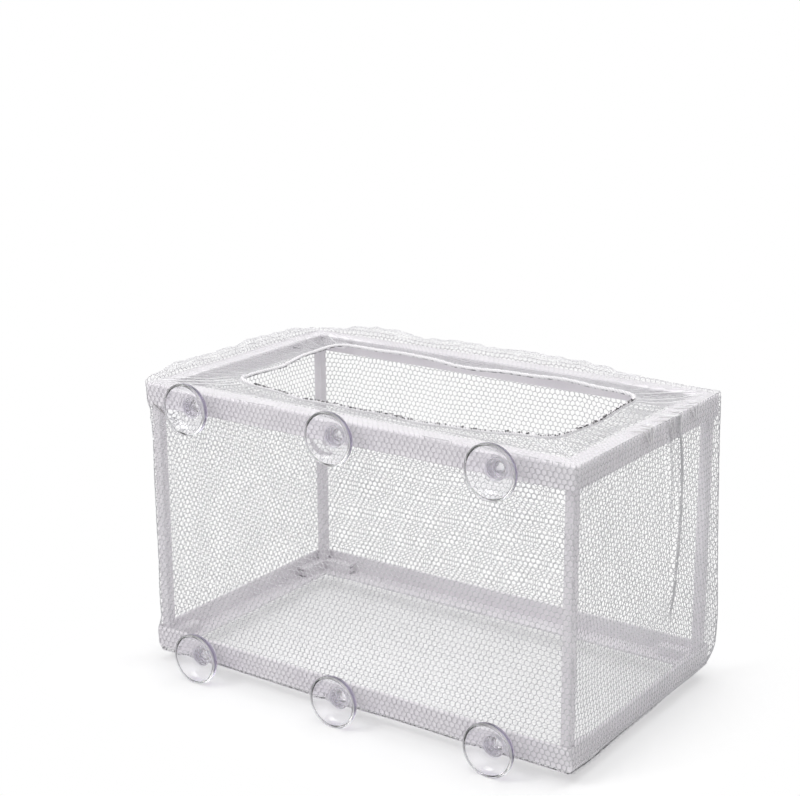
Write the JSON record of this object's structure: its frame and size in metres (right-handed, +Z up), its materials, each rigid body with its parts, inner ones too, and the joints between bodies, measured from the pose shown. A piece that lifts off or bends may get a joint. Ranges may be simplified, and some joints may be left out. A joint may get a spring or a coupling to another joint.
{
  "type": "fish breeding box",
  "caption": "Fish breeding box: a net bag over a plastic frame, open at the top through an elastic hem, with suction cups that hold it to aquarium glass.",
  "frame": {"origin": "under the middle of the whole part's bounding box, level with the lowest point, which is the rim of the bottom suction cups", "axes": "+X to the right along the long side as seen from the suction cups, +Y from the cups to the back of the box, +Z up"},
  "size_m": [0.2612, 0.1616, 0.1655],
  "materials": {
    "frame_plastic": "satin white",
    "net": "white hexagonal net",
    "hem": "stitched white hem",
    "cup_pvc": "clear, faint violet"
  },
  "bodies": {
    "frame": {"rail_top_front": "frame_plastic", "rail_top_back": "frame_plastic", "rail_top_left": "frame_plastic", "rail_top_right": "frame_plastic", "rail_bottom_front": "frame_plastic", "rail_bottom_back": "frame_plastic", "rail_bottom_left": "frame_plastic", "rail_bottom_right": "frame_plastic", "post_front_left": "frame_plastic", "post_front_right": "frame_plastic", "post_back_left": "frame_plastic", "post_back_right": "frame_plastic", "corner_top_front_left": "frame_plastic", "corner_top_front_right": "frame_plastic", "corner_top_back_left": "frame_plastic", "corner_top_back_right": "frame_plastic", "corner_bottom_front_left": "frame_plastic", "corner_bottom_front_right": "frame_plastic", "corner_bottom_back_left": "frame_plastic", "corner_bottom_back_right": "frame_plastic", "net_front": "net", "net_back": "net", "net_left": "net", "net_right": "net", "net_bottom": "net", "flap_front": "net", "flap_back": "net", "flap_left": "net", "flap_right": "net", "elastic_hem": "hem"},
    "cup_top_left": {"cup_top_left": "cup_pvc"},
    "cup_top_middle": {"cup_top_middle": "cup_pvc"},
    "cup_top_right": {"cup_top_right": "cup_pvc"},
    "cup_bottom_left": {"cup_bottom_left": "cup_pvc"},
    "cup_bottom_middle": {"cup_bottom_middle": "cup_pvc"},
    "cup_bottom_right": {"cup_bottom_right": "cup_pvc"}
  },
  "joints": [
    {"name": "cup_top_left_turn", "type": "hinge", "parent": "frame", "child": "cup_top_left", "pos_m": [-0.092, -0.0678, 0.15175], "axis": [0, 1, 0], "continuous": true},
    {"name": "cup_top_middle_turn", "type": "hinge", "parent": "frame", "child": "cup_top_middle", "pos_m": [0, -0.0678, 0.15175], "axis": [0, 1, 0], "continuous": true},
    {"name": "cup_top_right_turn", "type": "hinge", "parent": "frame", "child": "cup_top_right", "pos_m": [0.092, -0.0678, 0.15175], "axis": [0, 1, 0], "continuous": true},
    {"name": "cup_bottom_left_turn", "type": "hinge", "parent": "frame", "child": "cup_bottom_left", "pos_m": [-0.092, -0.0678, 0.01375], "axis": [0, 1, 0], "continuous": true},
    {"name": "cup_bottom_middle_turn", "type": "hinge", "parent": "frame", "child": "cup_bottom_middle", "pos_m": [0, -0.0678, 0.01375], "axis": [0, 1, 0], "continuous": true},
    {"name": "cup_bottom_right_turn", "type": "hinge", "parent": "frame", "child": "cup_bottom_right", "pos_m": [0.092, -0.0678, 0.01375], "axis": [0, 1, 0], "continuous": true}
  ]
}
